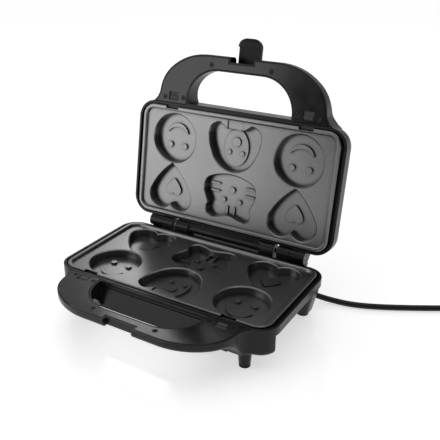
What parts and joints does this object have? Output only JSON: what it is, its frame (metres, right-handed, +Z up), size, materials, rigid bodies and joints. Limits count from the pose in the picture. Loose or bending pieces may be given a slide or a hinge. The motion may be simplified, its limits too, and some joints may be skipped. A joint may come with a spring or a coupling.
{
  "type": "sandwich maker",
  "caption": "Countertop sandwich and snack maker, lid open on its rear hinge, with interchangeable moulded plates, grip handles, a front latch and a mains cord",
  "frame": {"origin": "on the table under the centre of the object's box, without the cord", "axes": "+X to the right seen from the front, -Y to the front with the handles, +Y to the hinge, +Z up"},
  "size_m": [0.5153, 0.328, 0.2606],
  "materials": {
    "body": "satin black moulded plastic",
    "cover": "semi-gloss black panel",
    "plate": "cast plate with dark non-stick coating",
    "latch": "satin dark grey plastic",
    "catch": "matte dark grey plastic",
    "screw": "dark plated steel",
    "pin": "drawn steel rod",
    "contact": "nickel plated brass",
    "spring": "spring strip",
    "reflector": "pressed aluminised sheet",
    "element": "steel sheathed element",
    "ceramic": "glazed steatite",
    "lens": "clear red plastic",
    "foot": "moulded rubber",
    "cord": "black flexible PVC",
    "plug": "moulded black plug"
  },
  "bodies": {
    "base": {"base_housing": "body", "base_handle_cover": "cover", "base_cover_screws": "screw", "lower_plate": "plate", "lower_reflector": "reflector", "base_reflector_screws": "screw", "lower_heater": "element", "lower_heater_saddles": "ceramic", "thermal_fuse": "ceramic", "terminal_block": "ceramic", "cord_gland": "cord", "rubber_feet": "foot", "hinge_pins": "pin", "base_catch_spring_left": "spring", "base_catch_spring_right": "spring", "cord_free": "cord", "cord_coil": "cord", "cord_tail": "cord", "mains_plug": "plug", "plug_pins": "contact"},
    "base_catch_left": {"base_catch_left": "catch"},
    "base_catch_right": {"base_catch_right": "catch"},
    "lid": {"lid_housing": "body", "lid_handle_cover": "cover", "lid_cover_screws": "screw", "upper_plate": "plate", "upper_reflector": "reflector", "lid_reflector_screws": "screw", "upper_heater": "element", "upper_heater_saddles": "ceramic", "thermostat": "ceramic", "indicator_lenses": "lens", "latch_pin": "pin", "lid_catch_spring_left": "spring", "lid_catch_spring_right": "spring"},
    "lid_catch_left": {"lid_catch_left": "catch"},
    "lid_catch_right": {"lid_catch_right": "catch"},
    "latch": {"latch": "latch"}
  },
  "joints": [
    {"name": "lid_hinge", "type": "hinge", "parent": "base", "child": "lid", "pos_m": [0, 0.0711, 0.0518], "axis": [1, 0, 0], "range_deg": [0, 99.4]},
    {"name": "latch_pivot", "type": "hinge", "parent": "lid", "child": "latch", "pos_m": [0, 0.10977, 0.22998], "axis": [1, 0, 0], "range_deg": [0, 90]},
    {"name": "base_catch_left_slide", "type": "slide", "parent": "base", "child": "base_catch_left", "axis": [0, -1, 0], "range_m": [0, 0.0032], "stiffness_N_per_m": 150, "springref_m": -0.002, "deforming": ["base_catch_spring_left"]},
    {"name": "base_catch_right_slide", "type": "slide", "parent": "base", "child": "base_catch_right", "axis": [0, -1, 0], "range_m": [0, 0.0032], "stiffness_N_per_m": 150, "springref_m": -0.002, "deforming": ["base_catch_spring_right"]},
    {"name": "lid_catch_left_slide", "type": "slide", "parent": "lid", "child": "lid_catch_left", "axis": [0, 0.1633, 0.9866], "range_m": [0, 0.0032], "stiffness_N_per_m": 150, "springref_m": -0.002, "deforming": ["lid_catch_spring_left"]},
    {"name": "lid_catch_right_slide", "type": "slide", "parent": "lid", "child": "lid_catch_right", "axis": [0, 0.1633, 0.9866], "range_m": [0, 0.0032], "stiffness_N_per_m": 150, "springref_m": -0.002, "deforming": ["lid_catch_spring_right"]}
  ]
}
